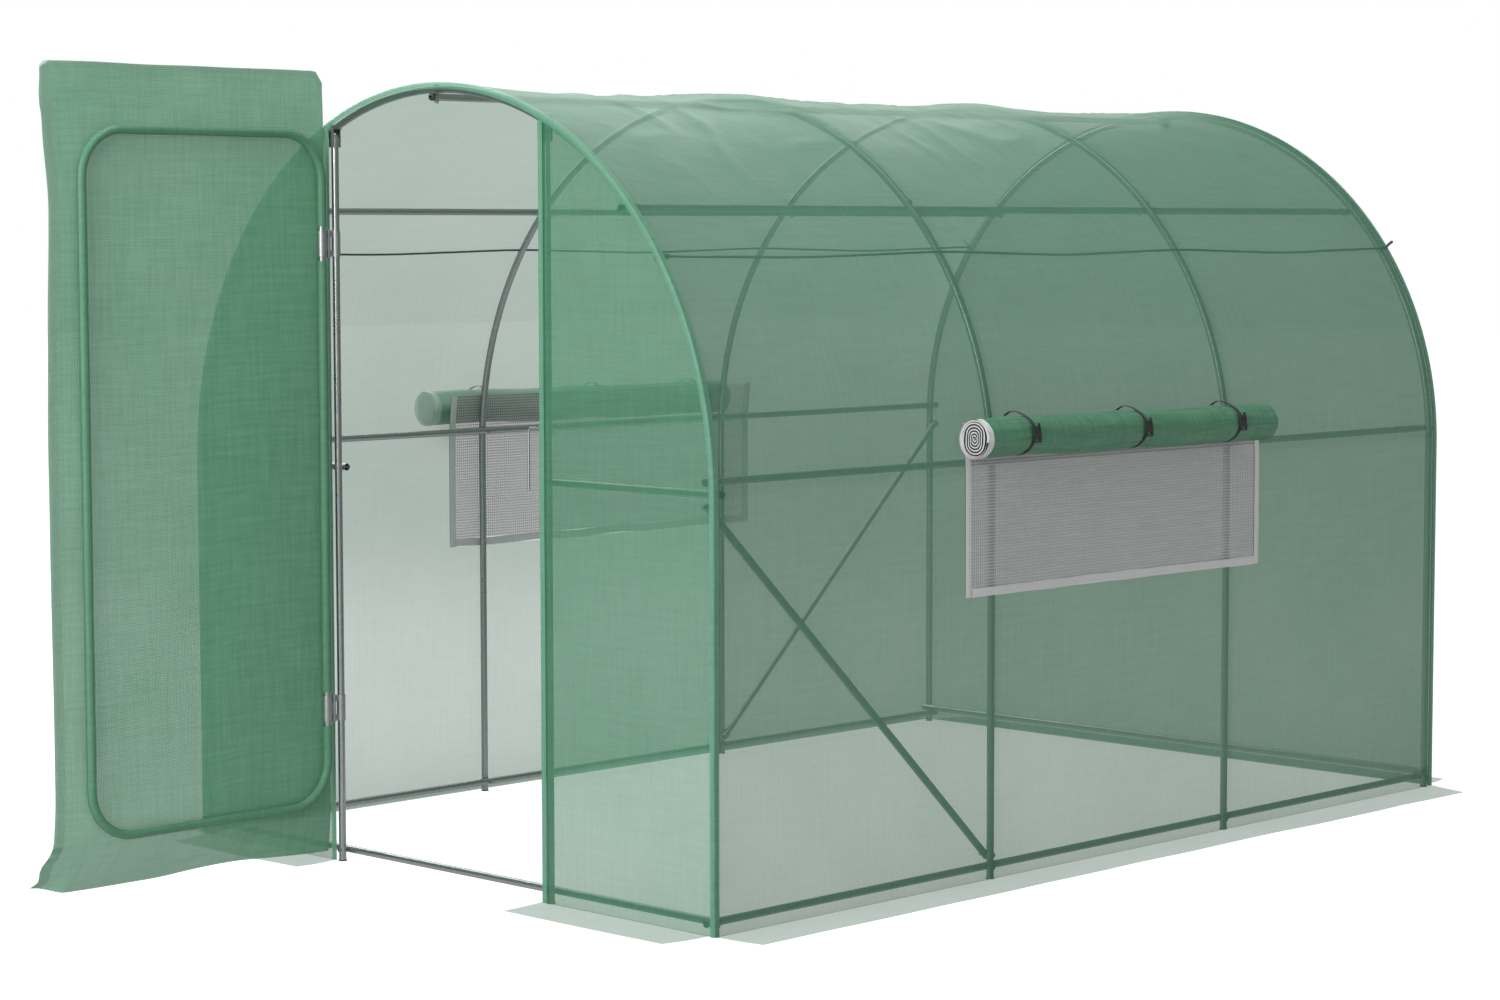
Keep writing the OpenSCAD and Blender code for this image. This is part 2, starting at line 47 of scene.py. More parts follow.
# Places and sizes in metres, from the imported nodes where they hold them
LEG_LOW, LEG_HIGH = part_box("leg_right_1")
FRONT_Y = (LEG_LOW.y + LEG_HIGH.y) / 2
HOOP_X = (LEG_LOW.x + LEG_HIGH.x) / 2
LEG_TOP = 1.033
BAY = 1.0
REAR_Y = FRONT_Y + 3 * BAY
MIDDLE_Y = FRONT_Y + 1.5 * BAY
COVER_LOW, COVER_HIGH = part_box("tunnel_cover")
FILM_R = HOOP_X + 0.0164
FILM_LOW = 0.003
SKIN_INSET = 0.0005
FRONT_FACE = COVER_LOW.y + SKIN_INSET
REAR_FACE = COVER_HIGH.y - SKIN_INSET
NET_LOW, NET_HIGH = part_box("window_mesh_right")
NET_GAP = 0.0005
WINDOW_Y = (NET_LOW.y - NET_GAP, NET_HIGH.y + NET_GAP)
WINDOW_Z = (NET_LOW.z - NET_GAP, NET_HIGH.z + NET_GAP)
BINDING_W = 0.022
POST_X = 0.41
HINGE_Y = FRONT_Y - 0.024
ROLL_R = 0.052


# ---------------------------------------------------------------- camera
def make_camera():
    data = bpy.data.cameras.new("camera")
    data.lens, data.sensor_width = 80.81, 36
    data.clip_start, data.clip_end = 0.1, 100
    camera = bpy.data.objects.new("camera", data)
    yaw, pitch, roll = (math.radians(a) for a in (44.415, 4.572, -0.084))
    ahead = Vector((-math.sin(yaw) * math.cos(pitch), math.cos(yaw) * math.cos(pitch),
                    -math.sin(pitch)))
    right = Vector((math.cos(yaw), math.sin(yaw), 0))
    up = right.cross(ahead)
    right, up = (right * math.cos(roll) + up * math.sin(roll),
                 up * math.cos(roll) - right * math.sin(roll))
    turn = Matrix((right, up, -ahead)).transposed().to_4x4()
    camera.matrix_world = Matrix.Translation((6.533, -6.677, 1.662)) @ turn
    bpy.context.scene.collection.objects.link(camera)
    bpy.context.scene.camera = camera


make_camera()


# ---------------------------------------------------------------- mesh helpers
def make_object(name, points, faces, uvs=None, smooth=True):
    """A mesh object; uvs holds one pair in metres of cloth for each point."""
    mesh = bpy.data.meshes.new(name)
    mesh.from_pydata([tuple(p) for p in points], [], faces)
    if uvs:
        layer = mesh.uv_layers.new(name="cloth")
        for loop in mesh.loops:
            layer.data[loop.index].uv = uvs[loop.vertex_index]
    if smooth:
        mesh.shade_smooth()
    else:
        mesh.shade_flat()
    mesh.update()
    thing = bpy.data.objects.new(name, mesh)
    bpy.context.scene.collection.objects.link(thing)
    return thing


def grid_object(name, us, vs, place, hole=None, uv=None):
    """A single skin over every cell of us by vs, except the cells whose middle is in hole."""
    cells = [(i, j) for i in range(len(us) - 1) for j in range(len(vs) - 1)
             if not (hole and hole((us[i] + us[i + 1]) / 2, (vs[j] + vs[j + 1]) / 2))]
    at, points, uvs, faces = {}, [], [], []
    for i, j in cells:
        face = []
        for key in ((i, j), (i + 1, j), (i + 1, j + 1), (i, j + 1)):
            if key not in at:
                at[key] = len(points)
                u, v = us[key[0]], vs[key[1]]
                points.append(place(u, v))
                uvs.append(uv(u, v) if uv else (u, v))
            face.append(at[key])
        faces.append(face)
    return make_object(name, points, faces, uvs)


def steps(low, high, size, stops=()):
    """Numbers from low to high about size apart, with every stop among them."""
    marks = sorted({low, high, *(s for s in stops if low < s < high)})
    found = [low]
    for a, b in zip(marks, marks[1:]):
        count = max(1, round((b - a) / size))
        found += [a + (b - a) * k / count for k in range(1, count + 1)]
    return found


SECTION_STEP = 0.008


def swept_object(name, path, section, closed=False, seam=False):
    """Sweeps section(k), a list of (across, up) pairs, along path, a list of (point, up way).

    With a seam the section stays open between its last pair and its first, as a rolled strip.
    """
    points, faces, uvs = [], [], []
    count, length = len(path), 0.0
    for k, (point, up) in enumerate(path):
        after = path[(k + 1) % count][0] if closed or k < count - 1 else point
        before = path[k - 1][0] if closed or k else point
        ahead = (after - before).normalized()
        up = (up - ahead * up.dot(ahead)).normalized()
        across = ahead.cross(up)
        if k:
            length += (point - path[k - 1][0]).length
        for m, (a, b) in enumerate(section(k)):
            points.append(point + across * a + up * b)
            uvs.append((length, m * SECTION_STEP))
    size = len(points) // count
    for k in range(count if closed else count - 1):
        n = (k + 1) % count
        for m in range(size - 1 if seam else size):
            o = (m + 1) % size
            faces.append((k * size + m, n * size + m, n * size + o, k * size + o))
    if not (closed or seam):
        faces.append(tuple(range(size))[::-1])
        faces.append(tuple((count - 1) * size + m for m in range(size)))
    return make_object(name, points, faces, uvs)


def ring(radius, sides):
    angles = [math.tau * m / sides for m in range(sides)]
    return [(radius * math.cos(a), radius * math.sin(a)) for a in angles]


def wave(x, y, z=0.0):
    return noise.noise(Vector((x, y, z)))


def smooth_step(a, b, x):
    """Eases from 0 at a to 1 at b."""
    t = min(max((x - a) / (b - a), 0.0), 1.0)
    return t * t * (3 - 2 * t)


# ---------------------------------------------------------------- material helpers
WAVE_SCALE = 0.31416  # a band texture of this scale repeats once in each unit
FILM_PITCH = 0.0045
NET_PITCH = 0.008


class Shading:
    """Builds one node material in short calls."""

    def __init__(self, name):
        self.material = bpy.data.materials.new(name)
        self.material.use_nodes = True
        self.tree = self.material.node_tree
        self.tree.nodes.clear()
        self.output = self.add("ShaderNodeOutputMaterial")

    def add(self, kind, values=None, **settings):
        node = self.tree.nodes.new(kind)
        for key, value in settings.items():
            setattr(node, key, value)
        for key, value in (values or {}).items():
            self.put(node.inputs[key], value)
        return node

    def put(self, socket, value):
        if hasattr(value, "is_output"):
            self.tree.links.new(value, socket)
        elif hasattr(value, "outputs"):
            self.tree.links.new(value.outputs[0], socket)
        else:
            socket.default_value = value

    def math(self, operation, a, b=0.0, c=0.0, clamp=False):
        return self.add("ShaderNodeMath", {0: a, 1: b, 2: c}, operation=operation, use_clamp=clamp)

    def cloth(self):
        return self.add("ShaderNodeUVMap", uv_map="cloth").outputs[0]

    def where(self):
        return self.add("ShaderNodeTexCoord").outputs["Object"]

    def stretched(self, vector, scale):
        return self.add("ShaderNodeVectorMath", {0: vector, 1: scale}, operation="MULTIPLY")

    def noise(self, vector, scale, detail=3.0, roughness=0.55, stretch=None):
        if stretch:
            vector = self.stretched(vector, stretch)
        return self.add("ShaderNodeTexNoise", {
            "Vector": vector, "Scale": scale, "Detail": detail, "Roughness": roughness})

    def threads(self, vector, pitch, way):
        """A thread pattern from 0 to 1 with the given distance between threads in metres."""
        return self.add("ShaderNodeTexWave", {
            "Vector": vector, "Scale": WAVE_SCALE / pitch, "Distortion": 0.0},
            wave_type="BANDS", bands_direction=way, wave_profile="SIN").outputs["Fac"]

    def ramp(self, factor, *stops):
        node = self.add("ShaderNodeValToRGB", {"Fac": factor})
        elements = node.color_ramp.elements
        while len(elements) < len(stops):
            elements.new(0.5)
        for element, (position, colour) in zip(elements, stops):
            element.position, element.color = position, (*colour, 1)
        return node.outputs["Color"]

    def blend(self, factor, a, b, kind="MIX"):
        node = self.add("ShaderNodeMix", data_type="RGBA", blend_type=kind)
        self.put(node.inputs["Factor"], factor)
        self.put(node.inputs[6], a if not isinstance(a, tuple) else (*a, 1))
        self.put(node.inputs[7], b if not isinstance(b, tuple) else (*b, 1))
        return node.outputs[2]

    def bump(self, height, distance, strength=1.0, normal=None):
        values = {"Height": height, "Distance": distance, "Strength": strength}
        if normal:
            values["Normal"] = normal
        return self.add("ShaderNodeBump", values).outputs[0]

    def surface(self, colour, roughness, normal=None, **sockets):
        values = {"Base Color": colour if not isinstance(colour, tuple) else (*colour, 1),
                  "Roughness": roughness}
        if normal:
            values["Normal"] = normal
        values.update({key.replace("_", " "): value for key, value in sockets.items()})
        return self.add("ShaderNodeBsdfPrincipled", values)

    def finish(self, shader):
        self.put(self.output.inputs["Surface"], shader)
        return self.material


def film(name, dark, light, glow, solid, glow_share=0.35):
    """Woven film: a fine thread grid that lets some light through and glows with the rest."""
    s = Shading(name)
    cloth = s.cloth()
    warp, weft = s.threads(cloth, FILM_PITCH, "X"), s.threads(cloth, FILM_PITCH, "Y")
    weave = s.math("MULTIPLY", s.math("ADD", warp, weft), 0.5)
    streaks = s.math("MULTIPLY", s.math("ADD",
        s.noise(cloth, 6.0, 4.0, 0.6, (14, 1, 1)), s.noise(cloth, 6.0, 4.0, 0.6, (1, 14, 1))), 0.5)
    patches = s.noise(cloth, 1.6, 4.0, 0.6)
    tone = s.math("ADD", s.math("MULTIPLY", streaks, 0.75), s.math("MULTIPLY", weave, 0.25))
    colour = s.ramp(tone, (0.38, dark), (0.62, light))
    folds = s.noise(s.where(), 2.2, 5.0, 0.62, (1.0, 0.6, 1.4))
    normal = s.bump(weave, 0.0006, 0.5)
    normal = s.bump(folds, 0.02, 0.5, normal)
    rough = s.math("ADD", s.math("MULTIPLY", patches, 0.22), 0.3)
    front = s.surface(colour, rough, normal, Specular_IOR_Level=0.45)
    behind = s.add("ShaderNodeBsdfTranslucent", {"Color": (*glow, 1), "Normal": normal})
    body = s.add("ShaderNodeMixShader", {0: glow_share, 1: front, 2: behind})
    open_share = s.math("ADD", s.math("MULTIPLY", weave, -0.16), s.math("MULTIPLY", patches, 0.1))
    alpha = s.math("ADD", open_share, solid + 0.03, clamp=True)
    clear = s.add("ShaderNodeBsdfTransparent")
    return s.finish(s.add("ShaderNodeMixShader", {0: alpha, 1: clear, 2: body}))


def galvanised(name, tint, rough_low, rough_high):
    """Zinc-coated steel: faint spangle, dull patches, grime and a fine grain."""
    s = Shading(name)
    at = s.where()
    spangle = s.add("ShaderNodeTexVoronoi", {"Vector": at, "Scale": 140.0}).outputs["Color"]
    dull = s.noise(at, 9.0, 6.0, 0.65)
    grime = s.noise(at, 2.0, 5.0, 0.6)
    grey = s.blend(0.1, tint, spangle, "OVERLAY")
    colour = s.blend(s.math("MULTIPLY", grime, 0.35), grey, tuple(c * 0.62 for c in tint))
    rough = s.math("ADD", s.math("MULTIPLY", dull, rough_high - rough_low), rough_low)
    normal = s.bump(s.noise(at, 900.0, 2.0), 0.0002, 0.25)
    return s.finish(s.surface(colour, rough, normal, Metallic=1.0))


def moulded(name, tint):
    """Moulded plastic with a fine grain."""
    s = Shading(name)
    at = s.where()
    grain = s.noise(at, 900.0, 2.0)
    colour = s.blend(s.noise(at, 30.0), tint, tuple(c * 1.8 + 0.01 for c in tint))
    rough = s.math("ADD", s.math("MULTIPLY", grain, 0.2), 0.4)
    return s.finish(s.surface(colour, rough, s.bump(grain, 0.0002, 0.4)))


def webbing(name, dark, light, pitch):
    """Woven strap, rope or binding: ribs across and a fine thread grain."""
    s = Shading(name)
    cloth = s.cloth()
    ribs, grain = s.threads(cloth, pitch, "X"), s.threads(cloth, pitch, "Y")
    weave = s.math("MULTIPLY", s.math("ADD", ribs, grain), 0.5)
    uneven = s.noise(s.where(), 60.0, 4.0)
    colour = s.blend(s.math("ADD", s.math("MULTIPLY", weave, 0.6),
                            s.math("MULTIPLY", uneven, 0.4)), dark, light)
    return s.finish(s.surface(colour, 0.72, s.bump(weave, 0.0006, 0.7), Sheen_Weight=0.2))


def open_mesh(name):
    """Insect mesh: a grid of threads with open squares between them."""
    s = Shading(name)
    cloth = s.cloth()
    warp, weft = s.threads(cloth, NET_PITCH, "X"), s.threads(cloth, NET_PITCH, "Y")
    cross = s.math("MAXIMUM", warp, weft)
    thread = s.ramp(cross, (0.45, (0, 0, 0)), (0.75, (1, 1, 1)))
    uneven = s.noise(cloth, 9.0, 5.0, 0.6, (1, 8, 1))
    grey = s.blend(uneven, (0.41, 0.4, 0.41), (0.66, 0.645, 0.66))
    colour = s.blend(thread, (0.17, 0.165, 0.17), grey)
    body = s.surface(colour, 0.6, s.bump(cross, 0.0008, 0.6))
    alpha = s.math("ADD", s.math("MULTIPLY", thread, 0.32), 0.6, clamp=True)
    clear = s.add("ShaderNodeBsdfTransparent")
    return s.finish(s.add("ShaderNodeMixShader", {0: alpha, 1: clear, 2: body}))


# The three colours of a film are its dark threads, its light threads and the light through it
FILM = film("film_green", (0.04, 0.235, 0.115), (0.08, 0.335, 0.18), (0.3, 0.38, 0.34), 0.745)
# Hem film: its paler green is a painted highlight along the hems at the end hoops and beside the
# posts
HEM_PAINTED_HIGHLIGHT = film("film_hem_painted_highlight", (0.15, 0.42, 0.27), (0.25, 0.54, 0.38), (0.2, 0.36, 0.28), 0.72, 0.2)
DOOR_FILM = film("film_door", (0.1, 0.29, 0.17), (0.17, 0.4, 0.255), (0.1, 0.27, 0.17), 0.93, 0.14)
# Door hem film: its paler green is a painted highlight where the door's bulging edge catches the
# light
DOOR_HEM_PAINTED_HIGHLIGHT = film("film_door_hem_painted_highlight", (0.38, 0.6, 0.47), (0.5, 0.72, 0.59), (0.3, 0.5, 0.4), 0.42, 0.2)
SLEEVE = film("film_sleeve", (0.09, 0.27, 0.155), (0.14, 0.35, 0.215), (0.06, 0.2, 0.11),
              0.92, 0.12)
ROLL_FILM = film("film_rolled", (0.06, 0.205, 0.112), (0.14, 0.37, 0.225), (0.02, 0.12, 0.05),
                 0.98, 0.14)
FLAP = film("film_flap", (0.06, 0.24, 0.14), (0.1, 0.32, 0.2), (0.2, 0.34, 0.27), 0.6, 0.3)
# Near-black film: painted shade for the deep gaps between the wound layers at a roll's end and for
# the disc behind them
ROLL_PAINTED_SHADE = film("film_rolled_painted_shade", (0.002, 0.008, 0.005), (0.004, 0.014, 0.008),
                 (0.002, 0.004, 0.003), 0.99, 0.02)
BINDING = webbing("binding_white", (0.58, 0.58, 0.58), (0.9, 0.9, 0.91), 0.0016)
MESH = open_mesh("mesh_grey")
STEEL = galvanised("steel_galvanised", (0.45, 0.465, 0.472), 0.2, 0.38)
ZINC = galvanised("steel_bright", (0.47, 0.48, 0.49), 0.34, 0.5)
CAPS = moulded("plastic_caps", (0.02, 0.02, 0.021))
BUCKLE = moulded("plastic_buckle", (0.008, 0.009, 0.009))
WEBBING = webbing("webbing_black", (0.004, 0.005, 0.005), (0.02, 0.022, 0.022), 0.0012)
ROPE = webbing("rope_braid", (0.045, 0.055, 0.05), (0.1, 0.115, 0.105), 0.004)


def give(thing, material, body, slot, *replaced):
    """One material, the body that it moves with, its slot (not used) and the CAD nodes that it
    replaces.
    """
    thing.data.materials.clear()
    thing.data.materials.append(material)
    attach(thing, body)
    if replaced:
        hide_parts(*replaced)
    return thing


# ---------------------------------------------------------------- ropes
# Right rope: out from the middle, back from the front hoop, up
ROPE_POINTS = [
    (0.811, 0.025, 1.602), (0.812, 0.12, 1.6), (0.813, 0.25, 1.599), (0.814, 0.5, 1.597),
    (0.815, 0.75, 1.602), (0.816, 1.0, 1.607), (0.815, 1.25, 1.602), (0.814, 1.5, 1.597),
    (0.815, 1.75, 1.602), (0.816, 2.0, 1.607), (0.815, 2.25, 1.602), (0.814, 2.5, 1.597),
    (0.815, 2.75, 1.602), (0.816, 3.0, 1.607), (0.816, 3.011, 1.607)]
ROPE_ANGLE = math.radians(35.1)
ROPE_D = 0.006
ROPE_STEPS = 5


def eased(a, b, c, d, t):
    """A smooth curve from b to c, with a before them and d after them."""
    return 0.5 * (2 * b + t * (c - a) + t * t * (2 * a - 5 * b + 4 * c - d)
                  + t ** 3 * (3 * b - a - 3 * c + d))


def rope_route(side):
    """The middle line of a rope, from the front hoop to the rear hoop."""
    at = [Vector((side * x, FRONT_Y + y, z)) for x, y, z in ROPE_POINTS]
    last = len(at) - 1
    route = [eased(at[max(i - 1, 0)], at[i], at[i + 1], at[min(i + 2, last)], j / ROPE_STEPS)
             for i in range(last) for j in range(ROPE_STEPS)]
    return route + [at[-1]]


def strand_section(turn):
    """Three lobes that turn along the rope, so that the braid shows in its outline."""
    lobes = [(a, ROPE_D / 2 * (0.93 + 0.07 * math.cos(3 * (a + turn))))
             for a in (math.tau * m / 12 for m in range(12))]
    return [(r * math.cos(a), r * math.sin(a)) for a, r in lobes]


def make_rope(side, name):
    route = rope_route(side)
    length = sum((b - a).length for a, b in zip(route, route[1:]))
    rope = swept_object(name, [(p, Vector((0, 0, 1))) for p in route],
                        lambda k: strand_section(k * 0.9))
    give(rope, ROPE, "tunnel", "rope", "rope_right" if side > 0 else "rope_left")
    tuple(route[0])
    [tuple(p) for p in route]


def rope_ways(side):
    """The outward way and the way along the hoop's tube where a rope crosses a hoop."""
    out = Vector((side * math.cos(ROPE_ANGLE), 0, math.sin(ROPE_ANGLE)))
    return out, Vector((-side * math.sin(ROPE_ANGLE), 0, math.cos(ROPE_ANGLE)))


def make_tie(side, name):
    """Two turns of the rope round the front hoop's tube."""
    out, along = rope_ways(side)
    middle = Vector((0, FRONT_Y, LEG_TOP)) + out * HOOP_X
    turns, count, turn_r, climb = 2, 64, 0.0122, 0.0045
    path = []
    for k in range(count + 1):
        a = math.tau * turns * k / count
        point = middle + (out * math.cos(a) + Vector((0, math.sin(a), 0))) * turn_r
        path.append((point + along * (climb * k / count - climb / 2), along))
    return swept_object(name, path, lambda k: ring(0.0023, 8))


def make_knot(side, name):
    """An overhand knot pulled tight, between the turns round the hoop and the rope."""
    x, _, z = ROPE_POINTS[0]
    centre = Vector((side * x, FRONT_Y + 0.019, z))
    count = 72
    path = []
    for k in range(count):
        a = math.tau * k / count
        r = 0.0032 + 0.0015 * math.cos(3 * a)
        local = Vector((r * math.cos(2 * a), 0.0034 * math.sin(3 * a), r * math.sin(2 * a)))
        path.append((centre + local, Vector((0.3, 1, 0.2))))
    return swept_object(name, path, lambda k: ring(0.0024, 8), closed=True)


def make_tail(side, name):
    """The rope's rear end, which comes out of the cover over the rear hoop."""
    out, along = rope_ways(side)
    foot = Vector((0, REAR_Y + 0.008, LEG_TOP)) + out * (HOOP_X + 0.0174)
    length, count = 0.030, 12
    path = [(foot + out * length * k / count + along * 0.0015 * math.sin(k / 5), along)
            for k in range(count + 1)]

    def section(k):
        fray = 1.45 + 0.16 * (k > count - 3) - 0.6 * (k > count - 1)
        return [(a * fray, b * fray) for a, b in strand_section(k * 0.5)]

    return swept_object(name, path, section)


def make_ropes():
    for side, word in SIDES:
        pieces = [make_tie(side, "rope_tie_" + word), make_knot(side, "rope_knot_" + word),
                  make_tail(side, "rope_tail_" + word)]
        for piece in pieces:
            give(piece, ROPE, "tunnel", "rope")
        if side > 0:
            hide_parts("rope_knots")
        make_rope(side, "rope_visual_" + word)


make_ropes()


# ---------------------------------------------------------------- tunnel film
LEG_RUN = LEG_TOP - FILM_LOW
ARC_RUN = math.pi * FILM_R
AROUND = 2 * LEG_RUN + ARC_RUN


def around(u):
    """Point (x, z) and outward way (x, z) at a distance u round the cover from its right foot."""
    if u <= LEG_RUN:
        return (FILM_R, FILM_LOW + u), (1, 0)
    if u < LEG_RUN + ARC_RUN:
        a = (u - LEG_RUN) / FILM_R
        return (FILM_R * math.cos(a), LEG_TOP + FILM_R * math.sin(a)), (math.cos(a), math.sin(a))
    return (-FILM_R, LEG_TOP - (u - LEG_RUN - ARC_RUN)), (-1, 0)


def bay_dip(y):
    """0 at each hoop, 1 in the middle of a bay."""
    t = (y - FRONT_Y) / BAY
    if not 0 < t < 3:
        return 0.0
    t -= math.floor(t)
    return (4 * t * (1 - t)) ** 0.85


def folds_at(u, y):
    """Sharp small folds in the slack film near the crown, from 0 to 1."""
    lines = 1 - abs(wave(y * 4.0 + u * 2.4, u * 3.2 - y * 1.6, 9)) * 4.5
    place = smooth_step(0.1, 0.6, wave(y * 1.3, u * 0.8, 17) + 0.45)
    return max(lines, 0.0) ** 1.5 * place


def film_depth(u, y):
    """How far the film lies inside its hoop radius: it sags between the hoops and creases."""
    from_foot = min(u, AROUND - u)
    roof = smooth_step(LEG_RUN * 0.85, LEG_RUN + 0.5, from_foot)
    wall = smooth_step(0.0, 0.35, from_foot)
    dip = bay_dip(y)
    at_rope = math.exp(-((from_foot - LEG_RUN - FILM_R * ROPE_ANGLE) / 0.14) ** 2)
    sag = dip * (0.0185 * roof * (1 - 0.78 * at_rope) + 0.0065 * wall * (1 - roof))
    slack = 0.25 + 0.75 * dip
    creases = (0.0022 * wave(y * 2.4, u * 1.3, 3) + 0.0016 * wave(y * 2.1, u * 9.0, 7)) * roof
    creases += 0.0016 * wave(y * 7.0, u * 1.6, 11) * wall
    diagonal = 0.0012 * wave((y + u) * 9.0, (y - u) * 1.8, 5) * roof
    crown = smooth_step(LEG_RUN + 0.55, LEG_RUN + 1.1, from_foot)
    pinch = 0.0055 * folds_at(u, y) * crown * smooth_step(0.0, 0.25, dip)
    return max(sag + (creases + diagonal) * slack * (1 - 0.6 * at_rope) - pinch, -0.0008)


def make_cover():
    """The roof and both side walls in one sheet, with a hole for each window and its binding."""
    y0, y1 = WINDOW_Y[0] - BINDING_W, WINDOW_Y[1] + BINDING_W
    ys = steps(FRONT_FACE, REAR_FACE, 0.02,
               (FRONT_Y, FRONT_Y + BAY, FRONT_Y + 2 * BAY, REAR_Y, y0, y1))
    low = WINDOW_Z[0] - BINDING_W - FILM_LOW
    high = LEG_RUN + FILM_R * math.asin((WINDOW_Z[1] - LEG_TOP) / FILM_R)
    stops = (low, LEG_RUN, high, AROUND - low, AROUND - LEG_RUN, AROUND - high)
    us = steps(0, AROUND, 0.02, stops)

    def place(u, y):
        (x, z), (ox, oz) = around(u)
        depth = film_depth(u, y)
        return Vector((x - ox * depth, y, z - oz * depth))

    def hole(u, y):
        return low < min(u, AROUND - u) < high and y0 < y < y1

    cover = grid_object("cover_film", us, ys, place, hole)
    give(cover, FILM, "tunnel", "woven_cover", "tunnel_cover")


def wall_height(x):
    """Height of the end wall's edge at x."""
    return LEG_TOP + math.sqrt(max(FILM_R * FILM_R - x * x, 0.0))


def end_wall(name, y, x0, x1, bulge, seed):
    """A flat film wall in the hoop's outline between x0 and x1, eased out by a slight bulge."""
    a0, a1 = math.asin(max(x0 / FILM_R, -1)), math.asin(min(x1 / FILM_R, 1))
    finer = 1.0 if x1 - x0 > 1.0 else 0.7
    columns = steps(a0, a1, 0.03 / FILM_R * finer)
    rows = steps(0.0, 1.0, 0.0125)

    def flat(a, b):
        x = FILM_R * math.sin(a)
        return x, FILM_LOW + b * (wall_height(x) - FILM_LOW)

    def place(a, b):
        x, z = flat(a, b)
        edge = min(abs(x - x0), abs(x1 - x), z * 1.5, wall_height(x) - z)
        free = smooth_step(0.0, 0.25, edge)
        out = free * (bulge + 0.003 * wave(x * 2.3, z * 1.4, seed))
        out += free * 0.0013 * wave(x * 11.0, z * 1.2, seed + 4)
        return Vector((x, y + out, z))

    return grid_object(name, columns, rows, place, uv=flat)


def strip_area(x0, x1):
    """Flat area of an end wall between two x values."""
    count = 400
    width = (x1 - x0) / count
    return sum(width * (wall_height(x0 + (k + 0.5) * width) - FILM_LOW) for k in range(count))


def make_end_walls():
    top, inset = wall_height(0.0) - FILM_LOW, 0.0006
    rear = end_wall("rear_film", REAR_FACE - inset, -FILM_R, FILM_R, 0.004, 21)
    give(rear, FILM, "tunnel", "woven_cover", "rear_panel")
    for side, word in SIDES:
        low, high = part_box("front_panel_" + word)
        x0, x1 = (low.x, FILM_R) if side > 0 else (-FILM_R, high.x)
        panel = end_wall("front_film_" + word, FRONT_FACE + inset, x0, x1, -0.003, 30 + side)
        give(panel, FILM, "tunnel", "woven_cover", "front_panel_" + word)
        round(strip_area(x0, x1), 3)


make_cover()
make_end_walls()


# ---------------------------------------------------------------- hems of the tunnel film
def hoop_hem(name, face, way, depth_door, depth_wall):
    """The sleeve along an end hoop: a strip on the roof side that turns over the hoop's face."""
    roof_width = 0.014
    us = steps(0, AROUND, 0.03, (LEG_RUN, AROUND - LEG_RUN))

    def place(u, v):
        (x, z), (ox, oz) = around(u)
        reach = depth_door if z > LEG_TOP and abs(x) < POST_X else depth_wall
        if v <= 1:
            y = face - way * roof_width * (1 - v)
            rise = 0.0012 - film_depth(u, y) * (1 - v) + 0.0008 * wave(u * 12, y * 30, 2)
        else:
            y = face + way * (0.0015 + 0.003 * math.sin(math.pi * min(v - 1, 1)))
            rise = -reach * (v - 1) ** 1.1 + 0.0012 * (2 - v)
        return Vector((x + ox * rise, y, z + oz * rise))

    across = [0, 0.25, 0.5, 0.75, 0.93, 1.03, 1.15, 1.35, 1.6, 1.8, 2.0]
    hem = grid_object(name, us, across, place, uv=lambda u, v: (u, v * 0.04))
    # The hem's paler film is a painted highlight along the hoop
    give(hem, HEM_PAINTED_HIGHLIGHT, "tunnel", "woven_cover")


def post_hem(name, side, edge_x, width):
    """The doubled edge of a front panel beside the doorway."""
    top = wall_height(abs(edge_x)) - 0.022
    zs = steps(FILM_LOW, top, 0.04)

    def place(z, v):
        turn = v * math.pi
        reach = width * (1 - math.sin(turn)) ** 0.8
        x = edge_x + side * (reach - 0.001) + 0.0012 * wave(z * 5, 3.0, side)
        y = FRONT_FACE - 0.0016 * math.cos(turn) - 0.0006
        return Vector((x, y, z))

    hem = grid_object(name, zs, [k / 12 for k in range(13)], place,
                      uv=lambda z, v: (z, abs(v - 0.5) * -0.08 + 0.04))
    # The hem's paler film is a painted highlight beside the post
    give(hem, HEM_PAINTED_HIGHLIGHT, "tunnel", "woven_cover")


def make_hems():
    hoop_hem("cover_hem_front", FRONT_FACE, -1, 0.015, 0.016)
    hoop_hem("cover_hem_rear", REAR_FACE, 1, 0.013, 0.013)
    width = 0.018
    post_hem("panel_hem_right", 1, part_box("front_panel_right")[0].x, width)
    post_hem("panel_hem_left", -1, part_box("front_panel_left")[1].x, width)


make_hems()


# ---------------------------------------------------------------- ground flaps
def make_flap(name, corner, along, out, length, width, cut0, cut1, seed, node):
    """A strip of film lying on the ground; its outer edge is cut back at both ends."""
    us, vs = steps(0, 1, 0.03 / length), steps(0, 1, 0.12)

    def place(u, v):
        run = length * u + v * (cut0 * (1 - u) - cut1 * u)
        edge = width * v * (1 + 0.05 * wave(u * length * 1.2, seed))
        lift = 0.0015 + 0.004 * v * max(wave(u * length * 3.0, v * 1.5, seed), 0)
        lift += 0.0035 * (1 - v) ** 3
        return corner + along * run + out * edge + Vector((0, 0, lift))

    flap = grid_object(name, us, vs, place, uv=lambda u, v: (u * length, v * width))
    give(flap, FLAP, "tunnel", "woven_cover", *([node] if node else []))


